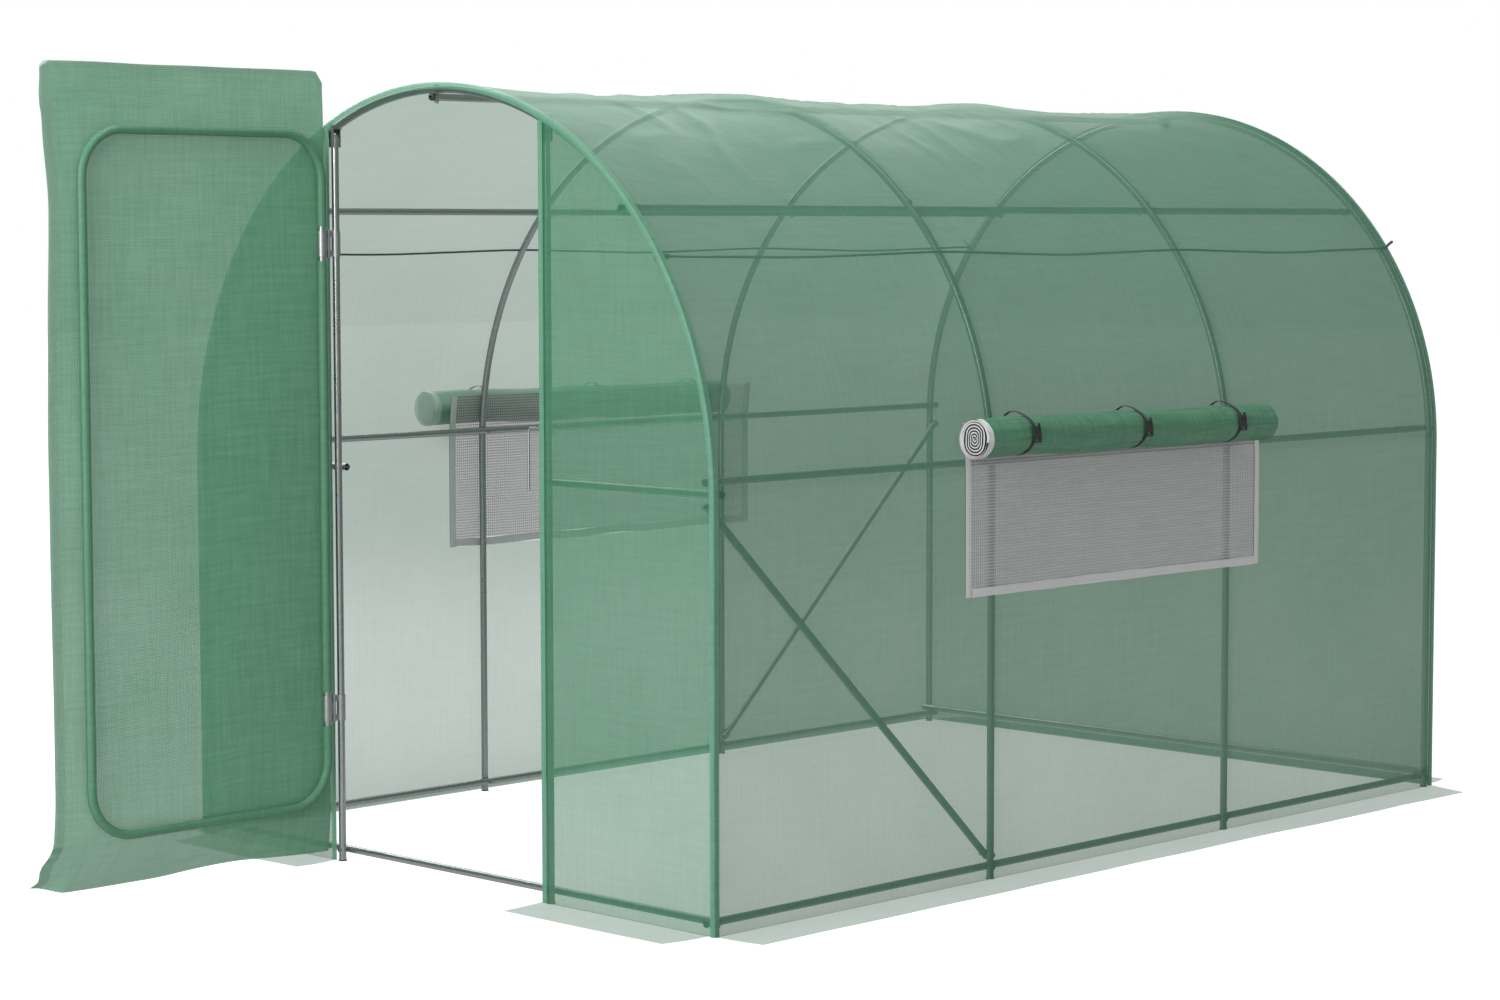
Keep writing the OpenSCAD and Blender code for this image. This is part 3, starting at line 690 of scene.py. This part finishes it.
def make_flaps():
    x_in, width, side_cut, end_cut = HOOP_X + 0.0178, 0.131, 0.027, 0.025
    back, front, across = Vector((0, 1, 0)), Vector((0, -1, 0)), Vector((1, 0, 0))
    for side, word in SIDES:
        make_flap("flap_" + word, Vector((side * x_in, FRONT_FACE, 0)), back,
                  Vector((side, 0, 0)), REAR_FACE - FRONT_FACE, width, side_cut, side_cut,
                  3 + side, "ground_flap_" + word)
    make_flap("flap_rear", Vector((-HOOP_X, REAR_FACE + 0.001, 0)), across, back,
              2 * HOOP_X, width, end_cut, end_cut, 8, "ground_flap_rear")
    right_low = POST_X - 0.012
    make_flap("flap_front_right", Vector((right_low, FRONT_FACE - 0.001, 0)), across,
              front, HOOP_X - right_low, width, 0.0, end_cut, 12, "ground_flaps_front")
    make_flap("flap_front_left", Vector((-HOOP_X, FRONT_FACE - 0.001, 0)), across,
              front, HOOP_X - POST_X - 0.005, width, end_cut, 0.0, 15, None)


make_flaps()


# ---------------------------------------------------------------- windows
def wall_point(side, z, y, proud):
    """A point on the side wall's film, moved outwards by proud."""
    u = z - FILM_LOW if z <= LEG_TOP else LEG_RUN + FILM_R * math.asin((z - LEG_TOP) / FILM_R)
    (x, z), (ox, oz) = around(u)
    rise = proud - film_depth(u, y)
    return Vector((side * (x + ox * rise), y, z + oz * rise))


def make_window(side, word):
    """The open mesh and its white binding, a strip on both faces along three of its edges."""
    low, high = WINDOW_Z
    y0, y1 = WINDOW_Y
    ys, zs = steps(y0, y1, 0.025), steps(low, high, 0.02, (LEG_TOP,))

    def net(y, z):
        edge = min(y - y0, y1 - y, z - low, high - z)
        sway = 0.004 * smooth_step(0, 0.12, edge) * wave(y * 3.2, z * 2.0, side)
        return wall_point(side, z, y, -0.0012 + sway)

    mesh = grid_object("window_net_" + word, ys, zs, net)
    give(mesh, MESH, "tunnel", "window_mesh", "window_mesh_" + word)

    width = BINDING_W
    strips = ((y0 - width, y0, low - width, high), (y1, y1 + width, low - width, high),
              (y0, y1, low - width, low))
    points, faces, uvs = [], [], []
    for face in (1, -1):
        for a, b, c, d in strips:
            upright = d - c > b - a
            rows = steps(a, b, width / 4 if upright else 0.02)
            columns = steps(c, d, 0.02, (LEG_TOP,)) if upright else steps(c, d, width / 4)
            start, n = len(points), len(columns)
            for y in rows:
                for z in columns:
                    across = (y - a) / width if upright else (z - c) / width
                    puff = face * (0.0011 + 0.0014 * math.sin(math.pi * across))
                    ripple = 0.0 if upright else 0.0035 * wave(y * 6.0, 4.0, side)
                    points.append(wall_point(side, z + ripple, y, puff))
                    uvs.append((z, across * width) if upright else (y, across * width))
            for i in range(len(rows) - 1):
                for j in range(n - 1):
                    k = start + i * n + j
                    faces.append((k, k + n, k + n + 1, k + 1)[::face])
    border = make_object("window_binding_" + word, points, faces, uvs)
    give(border, BINDING, "tunnel", "white_binding", *(["window_borders"] if side > 0 else []))


for window_side in SIDES:
    make_window(*window_side)


# ---------------------------------------------------------------- rolled-up window flaps
ROLL_LOW, ROLL_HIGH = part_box("rolled_flap_right")
ROLL_X = (ROLL_LOW.x + ROLL_HIGH.x) / 2
ROLL_Z = (ROLL_LOW.z + ROLL_HIGH.z) / 2
STRAP_YS = [MIDDLE_Y + s for s in (-0.471, -0.012, 0.402)]
BAND = 0.02


def from_strap(y):
    return min(abs(y - s) for s in STRAP_YS)


def roll_centre(side, y):
    """The roll hangs a little between its straps and rises towards its near end."""
    rise = 0.007 * (1 - smooth_step(ROLL_LOW.y, ROLL_HIGH.y - 0.2, y))
    drop = 0.0035 * smooth_step(0.02, 0.2, from_strap(y)) - rise
    return Vector((side * (ROLL_X + 0.0006 * wave(y * 3, side)), y, ROLL_Z - drop))


def roll_radius(a, y, side):
    """Squeezed by the straps, with long soft folds in the outer layer."""
    squeeze = 0.0028 * (1 - smooth_step(0.0, 0.035, from_strap(y)))
    folds = 0.0011 * wave(y * 2.6, 2.2 * math.cos(a), 2.2 * math.sin(a) + side * 5)
    folds += 0.0006 * wave(y * 5, 7 * math.cos(a), 7 * math.sin(a))
    folds += 0.0011 * wave(y * 1.3 + side, 4.5 * math.cos(a), 4.5 * math.sin(a))
    return ROLL_R - 0.0022 - squeeze + folds


def make_roll(side, word):
    """The roll's outer layer: white binding at the near end, gathered in at the far end."""
    y0, y1, gather, sides, binding_thick = ROLL_LOW.y, ROLL_HIGH.y, 0.016, 56, 0.0006
    ys = steps(y0, y1 - gather, 0.018, (y0 + BAND,)) + [y1 - 0.010, y1 - 0.005, y1 - 0.001, y1]
    angles = [math.tau * k / sides for k in range(sides + 1)]

    def place(y, a):
        a_side = a if side > 0 else math.pi - a
        end = max(0.0, (y - (y1 - gather)) / gather)
        r = roll_radius(a, y, side) * (1 - 0.42 * end ** 3)
        if y < y0 + BAND:
            r += binding_thick
        c = roll_centre(side, y)
        return Vector((c.x + r * math.cos(a_side), y, c.z + r * math.sin(a_side)))

    roll = grid_object("flap_roll_" + word, ys, angles, place, uv=lambda y, a: (y, a * ROLL_R))
    give(roll, ROLL_FILM, "tunnel", "rolled_cover", "rolled_flap_" + word)
    roll.data.materials.append(BINDING)
    for face in roll.data.polygons:
        if face.center.y < y0 + BAND:
            face.material_index = 1
    make_spiral(side, word, y0, 1, BINDING, ROLL_R - 0.0034)
    make_spiral(side, word + "_rear", y1 - 0.0005, -1, ROLL_FILM, 0.026)


def make_spiral(side, word, y, way, material, outer):
    """The wound layers seen at the end of a roll: round outside and squeezed further in.

    Only the edge of each layer and the last turns take the given material. The sides of the inner
    layers and the disc behind them are near-black painted shade for the deep gaps between the
    layers.
    """
    pitch, thick, deep, inner = 0.0079, 0.0038, 0.012, 0.002
    last_turn, start, disc_r, disc_deep = 0.95, 0.8, 0.0485, 0.006
    turns = (outer - inner) / pitch + last_turn
    count = int(turns * 40)
    light_end = 50
    points, faces, uvs = [], [], []
    centre = roll_centre(side, y)

    def at(q, a, dy):
        fullness = max(0.0, 1 - (q / outer) ** 3) * smooth_step(0, 0.012, q)
        pinch = 0.36 * math.cos(a) ** 4 * fullness
        q *= 1 - pinch
        return Vector((centre.x + q * math.cos(a), y + way * dy, centre.z + q * math.sin(a)))

    for k in range(count + 1):
        a = math.tau * turns * k / count
        r = min(inner + pitch * a / math.tau, outer)
        for dr, dy in ((-thick, 0.001), (0, 0.001), (0, deep), (-thick, deep)):
            points.append(at(max(r + dr, 0.0004), a + start, dy))
            uvs.append((r * a, dr + dy))
        if k:
            n, m = 4 * k, 4 * k - 4
            for e in range(4):
                f = (e + 1) % 4
                faces.append((m + e, n + e, n + f, m + f))
    spiral = make_object("roll_layers_" + word, points, faces, uvs, smooth=False)
    give(spiral, material, "tunnel", "white_binding" if material is BINDING else "rolled_cover")
    spiral.data.materials.append(ROLL_PAINTED_SHADE)
    # The sides and backs of the inner layers get the near-black painted shade
    for number, face in enumerate(spiral.data.polygons):
        face.material_index = 1 if number % 4 and number < 4 * (count - light_end) else 0
    # A near-black disc behind the layers: painted shade in the core of the roll
    rim = [math.tau * k / 32 for k in range(32)]
    back = make_object("roll_painted_shade_disc_" + word,
                       [at(min(disc_r, outer + 0.018), a, disc_deep) for a in rim],
                       [tuple(range(32))], [(math.cos(a), math.sin(a)) for a in rim])
    give(back, ROLL_PAINTED_SHADE, "tunnel", "rolled_cover")


def make_strap(side, name, y):
    """A strap from the wall over the roll, down its front and back under it to the wall."""
    width, thick = 0.011, 0.0012
    c = roll_centre(side, y)
    r = ROLL_R - 0.0027
    # Out and up from the roll's centre
    above = ((-0.056, 0.047), (-0.047, 0.053), (-0.037, 0.058), (-0.026, 0.0595), (-0.014, 0.058),
             (-0.003, 0.055), (0.008, 0.0505))
    under = ((-0.03, -0.045), (-0.045, -0.042), (-0.056, -0.041))
    turn = [math.radians(76 - 180 * k / 26) for k in range(27)]
    line = [*above, *((r * math.cos(a), r * math.sin(a)) for a in turn), *under]
    path = []
    for k, (out, up) in enumerate(line):
        skew = 0.016 * smooth_step(8, len(line) - 4, k)
        path.append((Vector((c.x + side * out, y - skew, c.z + up)), Vector((side * out, 0, up))))
    flat = [(-width / 2, 0), (-width / 2, thick), (width / 2, thick), (width / 2, 0)]
    strap = swept_object(name, path, lambda k: flat)
    give(strap, WEBBING, "tunnel", "black_webbing")
    return strap


def make_buckle(side, name, y):
    """A ladder buckle: a slightly bent plate with two slots and a notch in its upper edge."""
    wide, tall, thick = 0.029, 0.05, 0.0045
    tilt = math.radians(8)
    c = roll_centre(side, y)
    out = Vector((side * math.cos(tilt), 0, math.sin(tilt)))
    up = Vector((-side * math.sin(tilt), 0, math.cos(tilt)))
    along = Vector((0, 1, 0))
    sunk, over_strap, rail = 0.0035, 0.0026, 0.0065
    middle = c + out * (ROLL_R - sunk + over_strap)
    cuts_y = [-wide / 2, -wide / 2 + rail, wide / 2 - rail, wide / 2]
    cuts_z = [-tall / 2, -tall / 2 + 0.004, -tall / 2 + 0.012, 0.006, 0.011,
              tall / 2 - 0.008, tall / 2]
    at, points, faces = {}, [], []

    def solid(i, j):
        return not (i == 1 and j in (1, 3, 5))

    def corner(i, j, front):
        key = (i, j, front)
        if key not in at:
            at[key] = len(points)
            curve = 0.0025 * (2 * cuts_z[j] / tall) ** 2
            points.append(middle + along * cuts_y[i] + up * cuts_z[j]
                          + out * ((thick if front else 0) - curve))
        return at[key]

    for i in range(3):
        for j in range(6):
            if not solid(i, j):
                continue
            p, q, r, t = (i, j), (i + 1, j), (i + 1, j + 1), (i, j + 1)
            faces.append(tuple(corner(*k, True) for k in (p, q, r, t)))
            faces.append(tuple(corner(*k, False) for k in (p, t, r, q)))
            for di, dj, a, b in ((-1, 0, t, p), (1, 0, q, r), (0, -1, p, q), (0, 1, r, t)):
                ni, nj = i + di, j + dj
                if not (0 <= ni < 3 and 0 <= nj < 6 and solid(ni, nj)):
                    faces.append((corner(*a, True), corner(*a, False),
                                  corner(*b, False), corner(*b, True)))
    buckle = make_object(name, points, faces)
    bevel = buckle.modifiers.new("edges", "BEVEL")
    bevel.width, bevel.segments, bevel.limit_method = 0.0009, 2, "ANGLE"
    give(buckle, BUCKLE, "tunnel", "black_plastic")
    return buckle


def make_rolls():
    for side, word in SIDES:
        make_roll(side, word)
        for number, y in enumerate(STRAP_YS, 1):
            strap = make_strap(side, f"strap_{word}_{number}", y)
            buckle = make_buckle(side, f"buckle_{word}_{number}", y)
            if side > 0 and number == 1:
                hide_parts("roll_straps")
                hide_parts("strap_buckles")


make_rolls()


# ---------------------------------------------------------------- door
DOOR_NEAR_Y = HINGE_Y - 0.022
DOOR_FAR_Y = HINGE_Y - 0.763
DOOR_TOP, DOOR_LOW = 1.914, 0.157
DOOR_CORNER = 0.12
DOOR_LOW_CORNER, DOOR_HIGH_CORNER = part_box("door_cover")
DOOR_X = DOOR_HIGH_CORNER.x - 0.0006
DOOR_TOP_Z = DOOR_HIGH_CORNER.z
DOOR_IN_Y = DOOR_HIGH_CORNER.y + 0.008
DOOR_WIDE = DOOR_IN_Y - DOOR_LOW_CORNER.y
DOOR_TALL = DOOR_TOP_Z - FILM_LOW
DOOR_FLAP_CLEAR = 0.024
SLEEVE_R = 0.0117
# Height and how far out the door sheet's free edge stands there
EDGE_WAVES = ((0.0, -0.078), (0.1, 0.006), (0.27, -0.004), (0.72, 0.001), (1.1, -0.001),
              (1.42, -0.004), (1.74, -0.013), (1.95, 0.003), (2.0, 0.009), (2.08, 0.004))


def edge_out(z):
    """How far the door sheet's free edge stands beyond its straight line."""
    for (z0, a), (z1, b) in zip(EDGE_WAVES, EDGE_WAVES[1:]):
        if z <= z1:
            return a + (b - a) * smooth_step(z0, z1, z)
    return EDGE_WAVES[-1][1]


def door_point(u, v, proud=0.0):
    """u runs from the hinge side (0) to the free edge (1), v from the lower edge (0) up (1).

    The sheet is flat on the frame's tube, its lower edge flares outwards, and beside the hinges
    that edge is raised over the ground flap.
    """
    low = FILM_LOW + DOOR_FLAP_CLEAR * (1 - smooth_step(0.25, 0.6, u))
    z = low + v * (DOOR_TOP_Z - low)
    free = smooth_step(0.86, 1.0, u)
    y = DOOR_IN_Y - u * DOOR_WIDE - free * edge_out(z)
    top = DOOR_TOP_Z - 0.003 * (1 + wave(u * 4, 9.0))
    for gap, corner in ((u * DOOR_WIDE, 0.03), ((1 - u) * DOOR_WIDE, 0.016)):
        if gap < corner:
            top -= corner - math.sqrt(max(corner ** 2 - (corner - gap) ** 2, 0.0))
    z = min(z, low + v * (top - low))
    fold = 0.15
    lean = max(0.0, (fold - z) / fold)
    out = lean ** 1.25 * (0.016 + 0.12 * smooth_step(0.0, 0.5, u))
    out += lean ** 2 * 0.118 * smooth_step(0.87, 1.0, u)
    out += 0.008 * lean * wave(u * 5.0, 2.0) * smooth_step(0, 0.3, u)
    above = smooth_step(DOOR_TOP, DOOR_TOP_Z, z)
    out += above * (0.006 * wave(u * 3.0, 5.0) + 0.004)
    out += free * (0.010 + 0.006 * wave(z * 2.2, 1.0)) * (1 - lean)
    inside = smooth_step(0, 0.2, min(u, 1 - u)) * smooth_step(0.1, 0.3, z)
    inside *= smooth_step(0.0, 0.2, 1.93 - z)
    out += inside * (0.002 + 0.003 * wave(u * 2.0, z * 1.4, 6) + 0.0012 * wave(u * 3, z * 7, 2))
    return Vector((DOOR_X - out + proud, y, z))


def door_path(z0, z1, straight):
    """Points along the door frame's tube from z0 to z1 on its hinge side.

    They go straight up the hinge side, or else over the top and round by the free side.
    """
    near, far, r = DOOR_NEAR_Y, DOOR_FAR_Y, DOOR_CORNER
    points = []

    def at(y, z):
        return Vector((-POST_X, y, z))

    def line(a, b, count):
        points.extend(a.lerp(b, k / count) for k in range(count))

    def bend(y, z, first):
        for k in range(13):
            a = math.radians(first + 90 * k / 12)
            points.append(at(y + r * math.cos(a), z + r * math.sin(a)))

    if straight:
        line(at(near, z0), at(near, z1), 24)
        return [*points, at(near, z1)]
    line(at(near, z0), at(near, DOOR_TOP - r), 4)
    bend(near - r, DOOR_TOP - r, 0)
    line(at(near - r, DOOR_TOP), at(far + r, DOOR_TOP), 12)
    bend(far + r, DOOR_TOP - r, 90)
    line(at(far, DOOR_TOP - r), at(far, DOOR_LOW + r), 30)
    bend(far + r, DOOR_LOW + r, 180)
    line(at(far + r, DOOR_LOW), at(near - r, DOOR_LOW), 12)
    bend(near - r, DOOR_LOW + r, 270)
    line(at(near, DOOR_LOW + r), at(near, z1), 4)
    points.append(at(near, z1))
    clean = [points[0]]
    for p in points[1:]:
        if (p - clean[-1]).length > 0.004:
            clean.append(p)
    return clean


def make_sleeve(name, path):
    """The pocket of film that holds the door frame's tube."""
    def section(k):
        loose = 0.0006 * wave(path[k].z * 9, path[k].y * 9, 4)
        turn = [math.tau * (0.005 + 0.99 * m / 20) for m in range(21)]
        return [((SLEEVE_R + loose) * math.cos(a), (SLEEVE_R + loose) * math.sin(a)) for a in turn]

    sleeve = swept_object(name, [(p, Vector((1, 0, 0))) for p in path], section, seam=True)
    give(sleeve, SLEEVE, "door", "door_fabric")
    length = sum((b - a).length for a, b in zip(path, path[1:]))


def door_hem(name, edge, width, length):
    """A doubled strip on both faces of the door sheet along one edge; edge(t, w) is (u, v)."""
    ts = steps(0, 1, 0.03 / length)

    def place(t, w):
        u, v = edge(t, abs(w) * width)
        return door_point(u, v, 0.0009 if w > 0 else -0.0009 if w < 0 else 0.0)

    across = [-1, -0.66, -0.33, -0.02, 0, 0.02, 0.33, 0.66, 1]
    hem = grid_object(name, ts, across, place, uv=lambda t, w: (t * length, (1 - abs(w)) * width))
    # The hems' paler film is a painted highlight along the door's edges
    give(hem, DOOR_HEM_PAINTED_HIGHLIGHT, "door", "door_fabric")


def make_door():
    us, vs = steps(0, 1, 0.022, (0.93, 0.97)), steps(0, 1, 0.011)
    sheet = grid_object("door_film", us, vs, door_point,
                        uv=lambda u, v: (u * DOOR_WIDE, v * DOOR_TALL))
    give(sheet, DOOR_FILM, "door", "door_fabric", "door_cover")
    make_sleeve("door_sleeve_side", door_path(0.455, 1.585, True))
    make_sleeve("door_sleeve_round", door_path(1.675, 0.365, False))
    door_hem("door_hem_edge", lambda t, w: (1 - w / DOOR_WIDE, t), 0.03, DOOR_TALL)
    door_hem("door_hem_top", lambda t, w: (t, 1 - w / DOOR_TALL), 0.012, DOOR_WIDE)


make_door()


# ---------------------------------------------------------------- metal and plastic from the frame
BRIGHT = ("hinge_post_leaves", "hinge_door_leaves", "hinge_pins", "latch_bracket", "latch_hook",
          "frame_bolts", "frame_nuts")
TUBE_R = 0.0095
RIDGE_POKE = 0.012


def make_ridge_plug():
    """A black plug in the ridge tube's open end: painted shade for the dark inside of the open
    tube.
    """
    y, z = FRONT_Y - RIDGE_POKE, LEG_TOP + HOOP_X - 2 * TUBE_R
    profile = ((0.0, 0.009), (0.0, 0.0102), (-0.004, 0.0102), (-0.008, 0.0086), (-0.009, 0.004))
    sides = 28
    points = [(r * math.cos(a), y + out, z + r * math.sin(a)) for out, r in profile
              for a in (math.tau * m / sides for m in range(sides))]
    faces = [(i * sides + m, i * sides + (m + 1) % sides, (i + 1) * sides + (m + 1) % sides,
              (i + 1) * sides + m) for i in range(len(profile) - 1) for m in range(sides)]
    last = (len(profile) - 1) * sides
    faces += [tuple(range(sides)), tuple(range(last + sides - 1, last - 1, -1))]
    give(make_object("ridge_end_painted_shade", points, faces), CAPS, "tunnel", "cap_plastic")


def dress_frame():
    """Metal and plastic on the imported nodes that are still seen."""
    for name, thing in nodes.items():
        if thing.hide_render:
            continue
        material = ZINC if name in BRIGHT else CAPS if name == "foot_caps" else STEEL
        thing.data.materials.clear()
        thing.data.materials.append(material)


# ---------------------------------------------------------------- floor and light
def make_stage():
    """A pale floor, a white surround that lights the scene less than it shows, and four lights."""
    white = (1, 1, 1, 1)
    floor = make_object("floor", [(-40, -40, 0), (40, -40, 0), (40, 40, 0), (-40, 40, 0)],
                        [(0, 1, 2, 3)], smooth=False)
    s = Shading("floor_pale")
    paper = s.blend(s.noise(s.where(), 3.0), (0.24, 0.24, 0.24), (0.26, 0.26, 0.26))
    seen = s.add("ShaderNodeLightPath").outputs["Is Camera Ray"]
    base = s.surface(paper, 0.9, Emission_Color=white)
    s.put(base.inputs["Emission Strength"], s.math("MULTIPLY_ADD", seen, 0.66, 0.34))
    floor.data.materials.append(s.finish(base))

    world = bpy.data.worlds.new("studio")
    world.use_nodes = True
    tree = world.node_tree
    backdrop, dim = tree.nodes["Background"], tree.nodes.new("ShaderNodeBackground")
    for node, strength in ((backdrop, 1.0), (dim, 0.36)):
        node.inputs["Color"].default_value = white
        node.inputs["Strength"].default_value = strength
    path = tree.nodes.new("ShaderNodeLightPath")
    mix = tree.nodes.new("ShaderNodeMixShader")
    tree.links.new(path.outputs["Is Camera Ray"], mix.inputs[0])
    tree.links.new(dim.outputs[0], mix.inputs[1])
    tree.links.new(backdrop.outputs[0], mix.inputs[2])
    tree.links.new(mix.outputs[0], tree.nodes["World Output"].inputs[0])
    bpy.context.scene.world = world

    # Sizes in metres, powers in watts
    for name, place, aim, size, power in (
            ("light_left", (-5.5, 0.6, 4.6), (-0.9, 0.4, 1.4), (5.5, 3.5), 450),
            ("light_back", (-4.2, 4.6, 4.9), (0.2, -0.2, 1.9), (4.0, 2.2), 85),
            ("light_front", (1.2, -8.5, 3.4), (0.2, -1.2, 1.0), (5.0, 3.0), 450),
            ("light_top", (0.2, -1.2, 7.0), (0.0, 0.0, 1.0), (4.5, 4.5), 250)):
        data = bpy.data.lights.new(name, "AREA")
        data.shape, data.size, data.size_y, data.energy = "RECTANGLE", *size, power
        lamp = bpy.data.objects.new(name, data)
        lamp.location = place
        lamp.rotation_mode = "QUATERNION"
        lamp.rotation_quaternion = (Vector(aim) - Vector(place)).to_track_quat("-Z", "Y")
        bpy.context.scene.collection.objects.link(lamp)
    bpy.context.scene.view_settings.view_transform = "Standard"


make_ridge_plug()
dress_frame()
make_stage()
